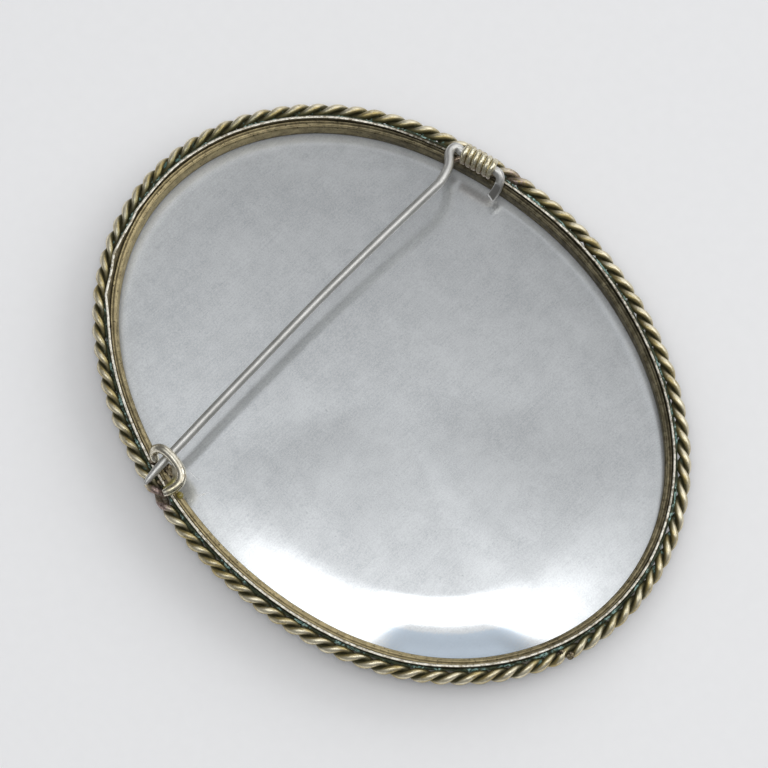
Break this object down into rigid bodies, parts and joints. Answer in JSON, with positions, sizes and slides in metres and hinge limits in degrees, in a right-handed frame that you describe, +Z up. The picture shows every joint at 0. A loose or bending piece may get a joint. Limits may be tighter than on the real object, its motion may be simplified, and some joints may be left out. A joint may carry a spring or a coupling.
{
  "type": "lacquer miniature brooch",
  "caption": "Oval brooch seen from its back: twisted rope border, thin rim wall, tin back plate under a ring, and a wire pin in a wound coil hinge with a C catch.",
  "frame": {"origin": "on the surface that the brooch lies on, face down, under the middle of the oval", "axes": "+X along the long axis of the oval, +Y along the short axis towards the hinge, +Z up out of the back"},
  "size_m": [0.0598, 0.046, 0.0081],
  "materials": {
    "rim_metal": "tarnished brass-nickel with a worn bright edge",
    "rope_metal": "tarnished twisted brass wire, green in the crevices",
    "ring_metal": "dull golden bronze",
    "plate_tin": "satin tin with fine scratches",
    "black_lacquer": "deep gloss lacquer with a painted flower spray",
    "pin_wire": "drawn nickel-plated steel wire"
  },
  "bodies": {
    "brooch": {"bezel": "rim_metal", "rope_border": "rope_metal", "retaining_ring": "ring_metal", "back_plate": "plate_tin", "lacquer_plaque": "black_lacquer"},
    "pin_wire": {"pin": "pin_wire"}
  },
  "joints": [
    {"name": "pin_hinge", "type": "hinge", "parent": "brooch", "child": "pin_wire", "pos_m": [-0.00935, 0.0202, 0.0061], "axis": [-0.9668, -0.2554, 0], "range_deg": [0, 150]}
  ]
}
